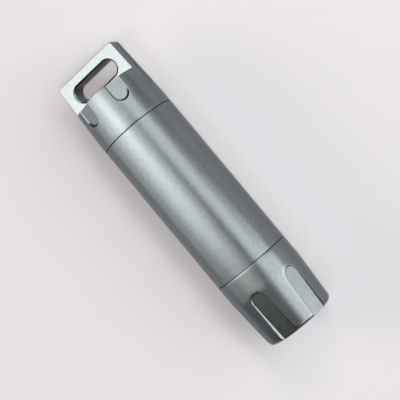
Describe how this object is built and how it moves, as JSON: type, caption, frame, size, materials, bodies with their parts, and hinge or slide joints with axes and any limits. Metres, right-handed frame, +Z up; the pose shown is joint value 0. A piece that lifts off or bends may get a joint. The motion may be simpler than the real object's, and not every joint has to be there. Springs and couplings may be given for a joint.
{
  "type": "keychain capsule",
  "caption": "Round storage capsule for a key ring: a tube with a fluted screw cap at each end, one with a flat slotted tang, each sealed by a ring.",
  "frame": {"origin": "on the surface the capsule lies on, under the middle of its whole length", "axes": "+Y along the capsule's axis towards the key-ring end, +Z up, square to the flat tang, +X across"},
  "size_m": [0.02, 0.0798, 0.02],
  "materials": {
    "barrel_metal": "satin blue-grey anodised, fine blasted grain",
    "cap_metal": "satin blue-grey anodised, fine blasted grain",
    "seal_rubber": "matt black"
  },
  "bodies": {
    "barrel": {"barrel": "barrel_metal"},
    "ring_end_seal": {"ring_end_seal": "seal_rubber"},
    "ring_cap": {"ring_cap": "cap_metal"},
    "grip_end_seal": {"grip_end_seal": "seal_rubber"},
    "grip_cap": {"grip_cap": "cap_metal"}
  },
  "joints": [
    {"name": "ring_cap_travel", "type": "slide", "parent": "barrel", "child": "ring_end_seal", "axis": [0, 1, 0], "range_m": [0, 0.0092]},
    {"name": "ring_cap_turn", "type": "hinge", "parent": "ring_end_seal", "child": "ring_cap", "pos_m": [0, 0.0206, 0.01], "axis": [0, 1, 0], "range_deg": [0, 1890]},
    {"name": "grip_cap_travel", "type": "slide", "parent": "barrel", "child": "grip_end_seal", "axis": [0, -1, 0], "range_m": [0, 0.0092]},
    {"name": "grip_cap_turn", "type": "hinge", "parent": "grip_end_seal", "child": "grip_cap", "pos_m": [0, -0.0214, 0.01], "axis": [0, -1, 0], "range_deg": [0, 1890]}
  ],
  "couplings": [
    {"joint": "ring_cap_travel", "follows": "ring_cap_turn", "m_per_rad": 0.00027852},
    {"joint": "grip_cap_travel", "follows": "grip_cap_turn", "m_per_rad": 0.00027852}
  ]
}
